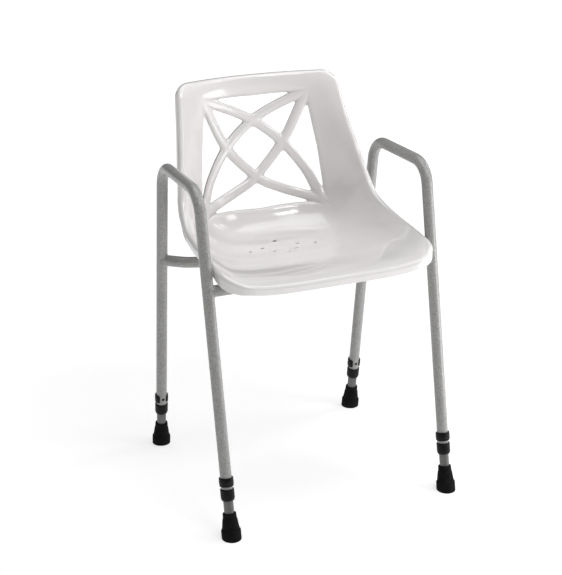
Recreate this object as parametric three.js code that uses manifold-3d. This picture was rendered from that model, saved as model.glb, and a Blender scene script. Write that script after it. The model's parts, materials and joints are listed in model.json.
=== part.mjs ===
// Shower chair: two bent-tube side hoops with height-adjustable legs, two cross
// rails and a one-piece plastic seat with an open lattice back.
// Millimetres. +Z is up, the front faces -Y, left and right are as seen from the front.

import * as THREE from 'three';
import { mergeVertices } from 'three/addons/utils/BufferGeometryUtils.js';
import Module from 'manifold-3d';

const wasm = await Module();
wasm.setup();

// ---------------------------------------------------------------- dimensions

const GAP = 0.3; // clearance between pieces that touch
const DEPTH_OFFSET = -13.85; // moves the origin under the middle of the whole chair

// Side hoops: axis points of the right-hand one, mirrored for the left.
const HOOP = {
  radius: 11.1,
  bore: 9.95,
  sides: 14,
  bendRadius: 48,
  bendSteps: 6,
  frontFoot: [232.4, -207.9, 0],
  frontArm: [234.9, -64.8, 640.2],
  rearArm: [230.6, 140.5, 636.3],
  rearFoot: [224.3, 207.9, 0],
};

// Leg adjusters: heights are measured along the leg from the middle of the sole.
const HOOP_END = 78.6;
const EXTENSION = { radius: 9.5, bore: 8.2, sides: 12, bottom: 14.2, top: 276 };
const PIN_HEIGHT = 111.5;
const PIN_PITCH = 25;
const PIN_POSITIONS = 7;
const PIN = { radius: 2.7, hole: 3.1, headRadius: 4, headOut: 15.6, headIn: 14.3, tip: 4 };
const CLIP = { inner: 11.4, outer: 14, height: 17, openAngle: 74, arcSteps: 14 };
const FERRULE_WASHER = { radius: 9.2, bottom: 12.3, top: 13.9 };
const FLOOR_BLOCK = { width: 120, depth: 60 }; // cuts a rubber foot level with the floor

// Facets round small turned pieces, rubber feet, drilled holes and the hollows in a rail's ends.
const SMALL_ROUND_SIDES = 12;
const FOOT_SIDES = 16;
const HOLE_SIDES = 8;
const SADDLE_SIDES = 20;

// Outline of the rubber foot as radius and height: base, step, taper, lip and socket.
const FERRULE_OUTLINE = [
  [0, -9], [18.9, -9], [18.9, 17], [17.9, 19.5], [16.6, 20.2], [14.2, 38],
  [13.2, 40], [12.8, 50], [9.8, 50], [9.8, 12], [0, 12],
];

// Outline of the bush on the hoop's end: tapered chin, body and the lip under the tube.
const COLLAR_OUTLINE = [
  [9.85, 75], [11.9, 75], [13.4, 79.5], [13.4, 97], [12.9, 98], [11.4, 98],
  [11.4, HOOP_END - GAP], [9.85, HOOP_END - GAP],
];

// Cross rails.
const FRONT_RAIL = { y: -105, z: 462.6 };
const REAR_RAIL = { legY: 162, middleY: 122, bendX: 180, z: 431, bendRadius: 80, bendSteps: 4 };

// How far a cut runs past what it cuts: a drill, and the hollow in a rail's end round its leg.
const DRILL_OVERRUN = 5;
const SADDLE_REACH = 60;

// Seat shell: cross-sections from the front lip to the top of the back. Each has its
// point on the centre line (y, z), its rim point (x, y, z) and how late its side turns up.
const SEAT_SECTIONS = [
  { centre: [-172, 481.5], rim: [217.5, -168, 504], turnUp: 5 },
  { centre: [-130, 483], rim: [218.5, -126, 510], turnUp: 5 },
  { centre: [-60, 474], rim: [217, -61, 519], turnUp: 4.5 },
  { centre: [20, 460], rim: [214.5, 1.5, 526], turnUp: 4 },
  { centre: [90, 451], rim: [210.5, 52, 537.5], turnUp: 3.6 },
  { centre: [145, 456], rim: [204.5, 81, 553.5], turnUp: 3.4 },
  { centre: [181, 476], rim: [201.5, 96, 573], turnUp: 3.3 },
  { centre: [203, 513], rim: [195.5, 110, 599.5], turnUp: 3.2 },
  { centre: [221, 588], rim: [189, 132, 632], turnUp: 2.7 },
  { centre: [236, 676], rim: [180, 162.5, 684], turnUp: 2.3 },
  { centre: [240, 768], rim: [170.5, 205, 775], turnUp: 2.1 },
];
const SHELL = {
  thickness: 4,
  rollRadius: 8,
  rollSteps: 3,
  frontCorner: 45,
  topCorner: 22,
  cornerSteps: 4,
  bodyRows: 13,
  columns: 14,
};
// Depth of the skirt below the roll, at places along the shell from the lip (0) to the top (1).
const SKIRT_DEPTHS = [
  [0, 9], [0.02, 9.5], [0.03, 13], [0.06, 17], [0.1, 17], [0.14, 12], [0.2, 10], [0.3, 10], [0.5, 7], [1, 7],
];

// Back lattice, drawn in x and z. The window is the whole opening; four curved ribs cross it.
const WINDOW_OUTLINE = [
  [-108, 728.5], [0, 725], [108, 728.5], [124, 620], [134.5, 506], [0, 499.5], [-134.5, 506], [-124, 620],
];
const UPPER_RIB = [[-112, 730], [-83.5, 717], [0, 675], [60.5, 626], [101, 572], [118, 535], [130, 505]];
const LOWER_RIB = [[-116, 735], [-100, 705], [-60.5, 626], [0, 561.4], [50, 534.5], [99.5, 518], [136, 509]];
const RIB_WIDTH = 19;
const RIB_STEPS = 10;
const WINDOW_DEPTH = [140, 290]; // y range that the window's cut runs through

const DRAIN_HOLES = [[0, 125], [38, 97], [-38, 97], [71, 83], [-71, 83], [24, 70], [-24, 70], [0, 52]];
const DRAIN = { radius: 3.5, bottom: 430, top: 480 };
const PAN_END = 0.5; // place along the shell, past which it is the back

// Seat fixings: screws up through the rails into bosses moulded under the pan.
const FIXINGS = [
  { name: 'front_left', x: -110, y: FRONT_RAIL.y, railZ: FRONT_RAIL.z },
  { name: 'front_right', x: 110, y: FRONT_RAIL.y, railZ: FRONT_RAIL.z },
  { name: 'rear_left', x: -78, y: REAR_RAIL.middleY, railZ: REAR_RAIL.z },
  { name: 'rear_right', x: 78, y: REAR_RAIL.middleY, railZ: REAR_RAIL.z },
];
const SCREW = {
  radius: 2.2,
  hole: 2.7,
  point: 1,
  headRadius: 4.6,
  headHeight: 3,
  crownRadius: 3.2,
  crownHeight: 1.2,
};
const SEAT_WASHER = { radius: 7, height: 1.2 };
const BOSS_RADIUS = 8;
const BOSS_SKIN = 2; // plastic left between a screw's tip and the seat's surface

// Small steps that numbers are worked out with.
const MERGE_DISTANCE = 1e-4;
const NORMAL_STEP = { across: 0.5, along: 0.001 };
const HALVINGS = 40;

// ----------------------------------------------------------------- materials

const finish = (color, roughness, metalness) => new THREE.MeshStandardMaterial({ color, roughness, metalness });
const MATERIALS = {
  coatedTube: finish(0xb9b8b5, 0.5, 0),
  aluminium: finish(0x8b8c8c, 0.4, 1),
  seatPlastic: finish(0xebe7e5, 0.22, 0),
  rubber: finish(0x0d0d0e, 0.75, 0),
  blackPlastic: finish(0x101011, 0.5, 0),
  steel: finish(0x9a9b9d, 0.35, 1),
};

// ------------------------------------------------------------- shape helpers

const vector = ([x, y, z]) => new THREE.Vector3(x, y, z);
const direction = (from, to) => to.clone().sub(from).normalize();
const mirrored = ([x, y, z], side) => new THREE.Vector3(side * x, y, z);

// Closed mesh with shared vertices and no collapsed triangles, as a solid for cutting.
function toSolid(geometry) {
  const bare = geometry.clone();
  bare.deleteAttribute('normal');
  bare.deleteAttribute('uv');
  const merged = mergeVertices(bare, MERGE_DISTANCE);
  const triangles = [];
  const index = merged.index.array;
  for (let i = 0; i < index.length; i += 3) {
    const [a, b, c] = [index[i], index[i + 1], index[i + 2]];
    if (a !== b && b !== c && c !== a) triangles.push(a, b, c);
  }
  return new wasm.Manifold(new wasm.Mesh({
    numProp: 3,
    vertProperties: Float32Array.from(merged.attributes.position.array),
    triVerts: Uint32Array.from(triangles),
  }));
}

function toGeometry(solid) {
  const mesh = solid.getMesh();
  const geometry = new THREE.BufferGeometry();
  geometry.setAttribute('position', new THREE.BufferAttribute(Float32Array.from(mesh.vertProperties), 3));
  geometry.setIndex(new THREE.BufferAttribute(Uint32Array.from(mesh.triVerts), 1));
  geometry.computeVertexNormals();
  return geometry;
}

function cut(geometry, cutters) {
  return toGeometry(cutters.reduce((solid, cutter) => solid.subtract(toSolid(cutter)), toSolid(geometry)));
}

// Outline turned about the z axis; its points are [radius, height], anticlockwise.
function turned(outline, sides) {
  const geometry = new THREE.LatheGeometry(outline.map(([r, z]) => new THREE.Vector2(r, z)), sides);
  return geometry.rotateX(Math.PI / 2);
}

function rod(from, to, radius, sides = SMALL_ROUND_SIDES) {
  const geometry = new THREE.CylinderGeometry(radius, radius, from.distanceTo(to), sides);
  const turn = new THREE.Quaternion().setFromUnitVectors(new THREE.Vector3(0, 1, 0), direction(from, to));
  const middle = from.clone().lerp(to, 0.5);
  return geometry.applyQuaternion(turn).translate(middle.x, middle.y, middle.z);
}

function uprightRod({ x, y }, bottom, top, radius, sides) {
  return rod(new THREE.Vector3(x, y, bottom), new THREE.Vector3(x, y, top), radius, sides);
}

function circlePoints(radius, sides) {
  return Array.from({ length: sides }, (_, i) => {
    const angle = (2 * Math.PI * i) / sides;
    return new THREE.Vector2(radius * Math.cos(angle), radius * Math.sin(angle));
  });
}

function tubeSection(radius, bore, sides) {
  const section = new THREE.Shape(circlePoints(radius, sides));
  section.holes.push(new THREE.Path(circlePoints(bore, sides)));
  return section;
}

// A curve that is sampled only at its own stations, so a sweep has no needless rings.
class StationCurve extends THREE.Curve {
  constructor(stations) {
    super();
    this.stations = stations;
  }
  station(u) {
    return this.stations[Math.round(u * (this.stations.length - 1))];
  }
  getPoint(u) {
    return this.station(u).point.clone();
  }
  getPointAt(u) {
    return this.getPoint(u);
  }
  getTangent(u) {
    return this.station(u).tangent.clone();
  }
  getTangentAt(u) {
    return this.getTangent(u);
  }
}

// Stations along straight runs joined by circular bends at the inner corners.
function bentTubeStations(corners, bendRadius, bendSteps) {
  const last = corners.length - 1;
  const stations = [{ point: corners[0], tangent: direction(corners[0], corners[1]) }];
  for (let i = 1; i < last; i += 1) {
    const into = direction(corners[i - 1], corners[i]);
    const turn = into.angleTo(direction(corners[i], corners[i + 1]));
    const axis = into.clone().cross(direction(corners[i], corners[i + 1])).normalize();
    const start = corners[i].clone().addScaledVector(into, -bendRadius * Math.tan(turn / 2));
    const centre = start.clone().addScaledVector(axis.clone().cross(into), bendRadius);
    for (let k = 0; k <= bendSteps; k += 1) {
      const angle = (turn * k) / bendSteps;
      stations.push({
        point: start.clone().sub(centre).applyAxisAngle(axis, angle).add(centre),
        tangent: into.clone().applyAxisAngle(axis, angle),
      });
    }
  }
  stations.push({ point: corners[last], tangent: direction(corners[last - 1], corners[last]) });
  return stations;
}

function sweep(section, stations) {
  return new THREE.ExtrudeGeometry(section, {
    steps: stations.length - 1,
    bevelEnabled: false,
    extrudePath: new StationCurve(stations),
  });
}

// --------------------------------------------------------------------- frame

// A leg's own frame: origin at the middle of the sole, z up the leg, and -y the way
// its height clip pulls off, which is forwards on a front leg and backwards on a rear one.
function legFrame(foot, corner, isFront) {
  const up = direction(foot, corner);
  const back = new THREE.Vector3(0, isFront ? 1 : -1, 0);
  back.addScaledVector(up, -back.dot(up)).normalize();
  const right = back.clone().cross(up);
  return new THREE.Matrix4().makeBasis(right, back, up).setPosition(foot);
}

function makeLegs() {
  const legs = [];
  for (const [end, isFront] of [['front', true], ['rear', false]]) {
    for (const [hand, side] of [['left', -1], ['right', 1]]) {
      const foot = mirrored(isFront ? HOOP.frontFoot : HOOP.rearFoot, side);
      const arm = mirrored(isFront ? HOOP.frontArm : HOOP.rearArm, side);
      legs.push({ name: `${end}_${hand}`, side, foot, arm, frame: legFrame(foot, arm, isFront) });
    }
  }
  return legs;
}

const LEGS = makeLegs();
const legNamed = (name) => LEGS.find((leg) => leg.name === name);

// A drill through both walls of a tube at this height up the leg, in the leg's own frame.
function pinDrill(height) {
  const reach = HOOP.radius + DRILL_OVERRUN;
  const back = new THREE.Vector3(0, reach, height);
  const front = new THREE.Vector3(0, -reach, height);
  return rod(front, back, PIN.hole, HOLE_SIDES);
}

function sideHoop(hand) {
  const front = legNamed(`front_${hand}`);
  const rear = legNamed(`rear_${hand}`);
  const lowEnd = (leg) => leg.foot.clone().addScaledVector(direction(leg.foot, leg.arm), HOOP_END);
  const corners = [lowEnd(front), front.arm, rear.arm, lowEnd(rear)];
  const stations = bentTubeStations(corners, HOOP.bendRadius, HOOP.bendSteps);
  const tube = sweep(tubeSection(HOOP.radius, HOOP.bore, HOOP.sides), stations);
  return cut(tube, [front, rear].map((leg) => pinDrill(PIN_HEIGHT).applyMatrix4(leg.frame)));
}

// The point on a leg's axis at this height above the floor.
function onLeg(leg, z) {
  return leg.foot.clone().lerp(leg.arm, z / leg.arm.z);
}

// Cuts that hollow a rail's ends to fit the legs and drill it for the seat screws.
function railCutters(legs, railZ) {
  const clear = HOOP.radius + GAP;
  const saddles = legs.map((leg) => {
    return rod(onLeg(leg, railZ - SADDLE_REACH), onLeg(leg, railZ + SADDLE_REACH), clear, SADDLE_SIDES);
  });
  const reach = HOOP.radius + DRILL_OVERRUN;
  const drills = FIXINGS.filter((fixing) => fixing.railZ === railZ)
    .map((fixing) => uprightRod(fixing, railZ - reach, railZ + reach, SCREW.hole, HOLE_SIDES));
  return [...saddles, ...drills];
}

function frontRail() {
  const legs = [legNamed('front_left'), legNamed('front_right')];
  const ends = legs.map((leg) => new THREE.Vector3(onLeg(leg, FRONT_RAIL.z).x, FRONT_RAIL.y, FRONT_RAIL.z));
  const section = tubeSection(HOOP.radius, HOOP.bore, HOOP.sides);
  return cut(sweep(section, bentTubeStations(ends, 0, 0)), railCutters(legs, FRONT_RAIL.z));
}

function rearRail() {
  const legs = [legNamed('rear_left'), legNamed('rear_right')];
  const [left, right] = legs.map((leg) => {
    return new THREE.Vector3(onLeg(leg, REAR_RAIL.z).x, REAR_RAIL.legY, REAR_RAIL.z);
  });
  const bend = (side) => new THREE.Vector3(side * REAR_RAIL.bendX, REAR_RAIL.middleY, REAR_RAIL.z);
  const corners = [left, bend(-1), bend(1), right];
  const stations = bentTubeStations(corners, REAR_RAIL.bendRadius, REAR_RAIL.bendSteps);
  const section = tubeSection(HOOP.radius, HOOP.bore, HOOP.sides);
  return cut(sweep(section, stations), railCutters(legs, REAR_RAIL.z));
}

// -------------------------------------------------------------- leg adjusters

function legExtension() {
  const ends = [EXTENSION.bottom, EXTENSION.top].map((z) => new THREE.Vector3(0, 0, z));
  const section = tubeSection(EXTENSION.radius, EXTENSION.bore, EXTENSION.sides);
  const tube = sweep(section, bentTubeStations(ends, 0, 0));
  const holes = Array.from({ length: PIN_POSITIONS }, (_, i) => pinDrill(PIN_HEIGHT + i * PIN_PITCH));
  return cut(tube, holes);
}

// The foot's sole is cut level with the floor, which meets the leg at a slant.
function ferrule(leg) {
  const { width, depth } = FLOOR_BLOCK;
  const floor = new THREE.BoxGeometry(width, width, depth).translate(leg.foot.x, leg.foot.y, -depth / 2);
  return cut(turned(FERRULE_OUTLINE, FOOT_SIDES), [floor.applyMatrix4(leg.frame.clone().invert())]);
}

function disc(radius, bottom, top) {
  return turned([[0, bottom], [radius, bottom], [radius, top], [0, top]], SMALL_ROUND_SIDES);
}

// A C-shaped band with its opening towards +y and a hole for the pin in its closed side.
function heightClip() {
  const half = THREE.MathUtils.degToRad(CLIP.openAngle / 2);
  const [from, to] = [Math.PI / 2 + half, Math.PI / 2 - half + 2 * Math.PI];
  const arc = (radius, start, end) => Array.from({ length: CLIP.arcSteps + 1 }, (_, i) => {
    const angle = start + ((end - start) * i) / CLIP.arcSteps;
    return new THREE.Vector2(radius * Math.cos(angle), radius * Math.sin(angle));
  });
  const outline = new THREE.Shape([...arc(CLIP.outer, from, to), ...arc(CLIP.inner, to, from)]);
  const band = new THREE.ExtrudeGeometry(outline, { depth: CLIP.height, bevelEnabled: false });
  band.translate(0, 0, PIN_HEIGHT - CLIP.height / 2);
  const outside = new THREE.Vector3(0, -CLIP.outer - DRILL_OVERRUN, PIN_HEIGHT);
  const inside = new THREE.Vector3(0, -CLIP.inner + DRILL_OVERRUN, PIN_HEIGHT);
  return cut(band, [rod(outside, inside, PIN.hole, HOLE_SIDES)]);
}

function clipPin() {
  const outline = [
    [0, PIN.tip], [PIN.radius, PIN.tip], [PIN.radius, PIN.headIn], [PIN.headRadius, PIN.headIn],
    [PIN.headRadius, PIN.headOut], [0, PIN.headOut],
  ];
  return turned(outline, SMALL_ROUND_SIDES).rotateX(Math.PI / 2).translate(0, 0, PIN_HEIGHT);
}

// ----------------------------------------------------------------- seat shell

const lastSection = SEAT_SECTIONS.length - 1;
const seatCentre = new THREE.CatmullRomCurve3(SEAT_SECTIONS.map(({ centre }) => vector([0, ...centre])));
const seatRim = new THREE.CatmullRomCurve3(SEAT_SECTIONS.map(({ rim }) => vector(rim)));

function alongPairs(pairs, t) {
  const i = Math.max(1, pairs.findIndex(([place]) => place >= t));
  const [[t0, v0], [t1, v1]] = [pairs[i - 1], pairs[i]];
  return THREE.MathUtils.mapLinear(t, t0, t1, v0, v1);
}

const turnUps = SEAT_SECTIONS.map(({ turnUp }, i) => [i / lastSection, turnUp]);

// Point on the seat's upper surface; t runs from the front lip (0) to the top of the back (1).
function seatPoint(x, t) {
  const centre = seatCentre.getPoint(t);
  const rim = seatRim.getPoint(t);
  const rise = (Math.abs(x) / rim.x) ** alongPairs(turnUps, t);
  return new THREE.Vector3(x, centre.y + (rim.y - centre.y) * rise, centre.z + (rim.z - centre.z) * rise);
}

function seatNormal(x, t) {
  const step = NORMAL_STEP;
  const across = seatPoint(x + step.across, t).sub(seatPoint(x - step.across, t));
  const ahead = Math.min(1, t + step.along);
  const behind = Math.max(0, t - step.along);
  const along = seatPoint(x, ahead).sub(seatPoint(x, behind));
  return across.cross(along).normalize();
}

// Rows across the shell, each with its place t and half-width, rounded in at both ends.
function seatRows() {
  const { rollRadius, frontCorner, topCorner, cornerSteps, bodyRows } = SHELL;
  const rimSpan = (i) => {
    return vector(SEAT_SECTIONS[i].rim).distanceTo(vector(SEAT_SECTIONS[i + 1].rim)) * lastSection;
  };
  const frontPlace = (depth) => (depth + rollRadius) / rimSpan(0);
  const topPlace = (depth) => 1 - (depth + rollRadius) / rimSpan(lastSection - 1);
  const row = (t, inset) => ({ t, halfWidth: seatRim.getPoint(t).x - rollRadius - inset });
  const corner = (place, radius) => Array.from({ length: cornerSteps + 1 }, (_, i) => {
    const angle = (Math.PI / 2) * (i / cornerSteps);
    return row(place(radius * (1 - Math.cos(angle))), radius * (1 - Math.sin(angle)));
  });
  const front = corner(frontPlace, frontCorner);
  const top = corner(topPlace, topCorner).reverse();
  const [from, to] = [front[cornerSteps].t, top[0].t];
  const body = Array.from({ length: bodyRows }, (_, i) => {
    return row(from + ((to - from) * (i + 1)) / (bodyRows + 1), 0);
  });
  return [...front, ...body, ...top];
}

// One ring of points for each step of the rolled rim: over the roll, down the skirt,
// back up its inner face and under the roll.
function rimRings(boundary) {
  const { rollRadius, rollSteps, thickness } = SHELL;
  const count = boundary.length;
  const frames = boundary.map(({ point, normal, t }, i) => {
    const along = direction(boundary[(i + count - 1) % count].point, boundary[(i + 1) % count].point);
    const outward = along.cross(normal).normalize();
    const tangent = seatCentre.getTangent(t);
    const skirt = new THREE.Vector3(0, tangent.z, -tangent.y);
    const turn = Math.atan2(-skirt.dot(normal), skirt.dot(outward));
    return { centre: point.clone().addScaledVector(normal, -rollRadius), normal, outward, skirt, turn, t };
  });
  const ring = (radius, part, extra) => frames.map(({ centre, normal, outward, skirt, turn, t }) => {
    return centre.clone()
      .addScaledVector(normal, radius * Math.cos(turn * part))
      .addScaledVector(outward, radius * Math.sin(turn * part))
      .addScaledVector(skirt, extra * alongPairs(SKIRT_DEPTHS, t));
  });
  const parts = Array.from({ length: rollSteps }, (_, i) => (i + 1) / rollSteps);
  const inner = rollRadius - thickness;
  const outerRings = parts.map((part) => ring(rollRadius, part, 0));
  const innerRings = parts.map((part) => ring(inner, part, 0)).reverse();
  return [...outerRings, ring(rollRadius, 1, 1), ring(inner, 1, 1), ...innerRings];
}

function plainShell() {
  const rows = seatRows();
  const columns = SHELL.columns;
  const rowCount = rows.length;
  const points = [];
  const triangles = [];
  const quad = (a, b, c, d) => triangles.push(a, b, c, a, c, d);
  const place = (row, column) => {
    const spread = Math.sin((Math.PI / 2) * ((2 * column) / columns - 1));
    return [row.halfWidth * spread, row.t];
  };
  const skin = (depth) => {
    const first = points.length;
    for (const row of rows) {
      for (let j = 0; j <= columns; j += 1) {
        const [x, t] = place(row, j);
        points.push(seatPoint(x, t).addScaledVector(seatNormal(x, t), -depth));
      }
    }
    return (i, j) => first + i * (columns + 1) + j;
  };
  const upper = skin(0);
  const lower = skin(SHELL.thickness);
  for (let i = 0; i < rowCount - 1; i += 1) {
    for (let j = 0; j < columns; j += 1) {
      quad(upper(i, j), upper(i, j + 1), upper(i + 1, j + 1), upper(i + 1, j));
      quad(lower(i, j), lower(i + 1, j), lower(i + 1, j + 1), lower(i, j + 1));
    }
  }
  const loop = [];
  for (let j = 0; j < columns; j += 1) loop.push([0, j]);
  for (let i = 0; i < rowCount - 1; i += 1) loop.push([i, columns]);
  for (let j = columns; j > 0; j -= 1) loop.push([rowCount - 1, j]);
  for (let i = rowCount - 1; i > 0; i -= 1) loop.push([i, 0]);
  const boundary = loop.map(([i, j]) => {
    const [x, t] = place(rows[i], j);
    return { point: seatPoint(x, t), normal: seatNormal(x, t), t };
  });
  let previous = loop.map(([i, j]) => upper(i, j));
  const band = (next) => {
    next.forEach((_, m) => {
      const after = (m + 1) % next.length;
      quad(previous[m], next[m], next[after], previous[after]);
    });
    previous = next;
  };
  for (const ring of rimRings(boundary)) {
    const first = points.length;
    points.push(...ring);
    band(ring.map((_, m) => first + m));
  }
  band(loop.map(([i, j]) => lower(i, j)));
  const geometry = new THREE.BufferGeometry().setFromPoints(points);
  return geometry.setIndex(triangles);
}

// A prism through the seat's back from an outline drawn in x and z.
function backPrism(outline) {
  const [front, back] = WINDOW_DEPTH;
  const depth = back - front;
  const geometry = new THREE.ExtrudeGeometry(new THREE.Shape(outline), { depth, bevelEnabled: false });
  return geometry.rotateX(Math.PI / 2).translate(0, back, 0);
}

function ribOutline(route, side) {
  const curve = new THREE.SplineCurve(route.map(([x, z]) => new THREE.Vector2(side * x, z)));
  const edge = (offset) => Array.from({ length: RIB_STEPS + 1 }, (_, i) => {
    const along = curve.getTangent(i / RIB_STEPS);
    return curve.getPoint(i / RIB_STEPS).add(new THREE.Vector2(-along.y, along.x).multiplyScalar(offset));
  });
  return [...edge(RIB_WIDTH / 2), ...edge(-RIB_WIDTH / 2).reverse()];
}

function latticeOpenings() {
  const windowOutline = WINDOW_OUTLINE.map(([x, z]) => new THREE.Vector2(x, z));
  const ribs = [UPPER_RIB, LOWER_RIB].flatMap((route) => [-1, 1].map((side) => ribOutline(route, side)));
  const whole = toSolid(backPrism(windowOutline));
  return ribs.reduce((openings, rib) => openings.subtract(toSolid(backPrism(rib))), whole);
}

// Height of the seat pan's upper surface at a place in the pan.
function panHeight(x, y) {
  let [low, high] = [0, PAN_END];
  for (let i = 0; i < HALVINGS; i += 1) {
    const middle = (low + high) / 2;
    if (seatPoint(x, middle).y < y) low = middle;
    else high = middle;
  }
  return seatPoint(x, low).z;
}

const railTop = (fixing) => fixing.railZ + HOOP.radius;
const screwTip = (fixing) => panHeight(fixing.x, fixing.y) - BOSS_SKIN;

function seatShell() {
  let shell = toSolid(plainShell()).subtract(latticeOpenings());
  for (const [x, y] of DRAIN_HOLES) {
    shell = shell.subtract(toSolid(uprightRod({ x, y }, DRAIN.bottom, DRAIN.top, DRAIN.radius, HOLE_SIDES)));
  }
  for (const fixing of FIXINGS) {
    const bottom = railTop(fixing) + GAP;
    const top = screwTip(fixing) + GAP;
    const boss = uprightRod(fixing, bottom, top, BOSS_RADIUS, SMALL_ROUND_SIDES);
    const hole = uprightRod(fixing, bottom - DRILL_OVERRUN, top, SCREW.radius + GAP, HOLE_SIDES);
    shell = shell.add(toSolid(boss)).subtract(toSolid(hole));
  }
  return toGeometry(shell);
}

// -------------------------------------------------------------- seat fixings

function seatWasher({ railZ }) {
  const top = railZ - HOOP.radius - GAP;
  const bottom = top - SEAT_WASHER.height;
  const outline = [
    [SCREW.hole, bottom], [SEAT_WASHER.radius, bottom], [SEAT_WASHER.radius, top], [SCREW.hole, top],
    [SCREW.hole, bottom],
  ];
  return turned(outline, SMALL_ROUND_SIDES);
}

function seatScrew(fixing) {
  const seat = fixing.railZ - HOOP.radius - SEAT_WASHER.height - 2 * GAP;
  const bottom = seat - SCREW.headHeight;
  const tip = screwTip(fixing);
  const outline = [
    [0, bottom], [SCREW.crownRadius, bottom], [SCREW.headRadius, bottom + SCREW.crownHeight],
    [SCREW.headRadius, seat], [SCREW.radius, seat], [SCREW.radius, tip - SCREW.point], [0, tip],
  ];
  return turned(outline, SMALL_ROUND_SIDES);
}

// ------------------------------------------------------------------ assembly

function named(name, geometry, material) {
  const mesh = new THREE.Mesh(geometry, material);
  mesh.name = name;
  return mesh;
}

function legAssembly(leg) {
  const group = new THREE.Group();
  group.applyMatrix4(leg.frame);
  const { radius, bottom, top } = FERRULE_WASHER;
  const closedCollar = [...COLLAR_OUTLINE, COLLAR_OUTLINE[0]];
  group.add(named(`${leg.name}_leg_extension`, legExtension(), MATERIALS.aluminium));
  group.add(named(`${leg.name}_ferrule`, ferrule(leg), MATERIALS.rubber));
  group.add(named(`${leg.name}_ferrule_washer`, disc(radius, bottom, top), MATERIALS.steel));
  group.add(named(`${leg.name}_leg_collar`, turned(closedCollar, FOOT_SIDES), MATERIALS.blackPlastic));
  group.add(named(`${leg.name}_height_clip`, heightClip(), MATERIALS.blackPlastic));
  group.add(named(`${leg.name}_clip_pin`, clipPin(), MATERIALS.steel));
  return group;
}

function fixingAssembly(fixing) {
  const group = new THREE.Group();
  group.position.set(fixing.x, fixing.y, 0);
  group.add(named(`seat_washer_${fixing.name}`, seatWasher(fixing), MATERIALS.steel));
  group.add(named(`seat_screw_${fixing.name}`, seatScrew(fixing), MATERIALS.steel));
  return group;
}

function showerChair() {
  const chair = new THREE.Group();
  chair.position.y = DEPTH_OFFSET;
  for (const hand of ['left', 'right']) {
    chair.add(named(`${hand}_side_hoop`, sideHoop(hand), MATERIALS.coatedTube));
  }
  chair.add(named('front_cross_rail', frontRail(), MATERIALS.coatedTube));
  chair.add(named('rear_cross_rail', rearRail(), MATERIALS.coatedTube));
  chair.add(named('seat_shell', seatShell(), MATERIALS.seatPlastic));
  LEGS.forEach((leg) => chair.add(legAssembly(leg)));
  FIXINGS.forEach((fixing) => chair.add(fixingAssembly(fixing)));
  return chair;
}

export default showerChair();
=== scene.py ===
"""Shower chair: coated tube frame, moulded plastic seat with a lattice back, adjustable feet.

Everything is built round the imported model, in its frame. Lengths are in metres; +Z is up and
the front faces -Y. Left and right are as seen from the front.
"""

import json
import math
from contextlib import contextmanager

import bmesh
import bpy
import numpy as np
from mathutils import Matrix, Vector


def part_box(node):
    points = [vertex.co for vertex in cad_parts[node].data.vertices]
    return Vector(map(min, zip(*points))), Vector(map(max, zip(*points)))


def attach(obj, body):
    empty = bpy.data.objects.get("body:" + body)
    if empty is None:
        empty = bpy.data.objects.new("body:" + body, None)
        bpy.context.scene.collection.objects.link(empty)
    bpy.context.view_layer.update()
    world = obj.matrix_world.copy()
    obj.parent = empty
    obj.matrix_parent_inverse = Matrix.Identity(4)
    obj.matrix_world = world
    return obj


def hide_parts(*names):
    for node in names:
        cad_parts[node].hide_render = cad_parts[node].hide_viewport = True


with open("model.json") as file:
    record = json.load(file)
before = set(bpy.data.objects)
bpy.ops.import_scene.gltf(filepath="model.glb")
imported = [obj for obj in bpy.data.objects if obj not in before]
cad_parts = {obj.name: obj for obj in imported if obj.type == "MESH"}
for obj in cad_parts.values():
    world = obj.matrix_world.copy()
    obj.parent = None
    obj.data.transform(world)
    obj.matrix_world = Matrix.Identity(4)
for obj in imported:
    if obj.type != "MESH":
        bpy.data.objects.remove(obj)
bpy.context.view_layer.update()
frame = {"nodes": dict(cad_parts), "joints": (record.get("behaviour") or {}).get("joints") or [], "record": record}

# --- dimensions

MM = 0.001
DEPTH_OFFSET = -13.85 * MM  # from the seat's own y to the row frame's

# Side hoops.
TUBE_RADIUS = 11.1 * MM
TUBE_BORE = 9.95 * MM
TUBE_SIDES = 40
ARM_HEIGHT = {"front": 640.2 * MM, "rear": 636.3 * MM}
ARM_BEND = 48 * MM
HOOP_END = 78.6 * MM

# Leg adjusters: heights are measured up the leg from the middle of the sole.
EXTENSION = {"radius": 9.5 * MM, "bore": 8.2 * MM, "bottom": 14.2 * MM, "top": 276 * MM}
PIN_HEIGHT = 111.5 * MM
PIN_PITCH = 25 * MM
PIN_POSITIONS = 7
PIN_HOLE = 3.1 * MM
CLIP = {"inner": 11.4 * MM, "outer": 14 * MM, "height": 17 * MM, "opening": 74, "edge": 1 * MM}
CLIP_TAPER = (0.22, 0.35)  # shares of a clip's height and thickness lost at the tips of its arms
SOLE_RINGS = [  # how far in each ring of the sole is from the one before, and its step up, in mm
    (1.6, 0), (2.2, 0), (0.6, 1.2), (2.4, 0), (0.6, -1.2),
]
HAIR = 0.3 * MM  # clearance between touching pieces
CUT_PAST = 4 * MM  # how far a cutter reaches past the surface it cuts

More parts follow.
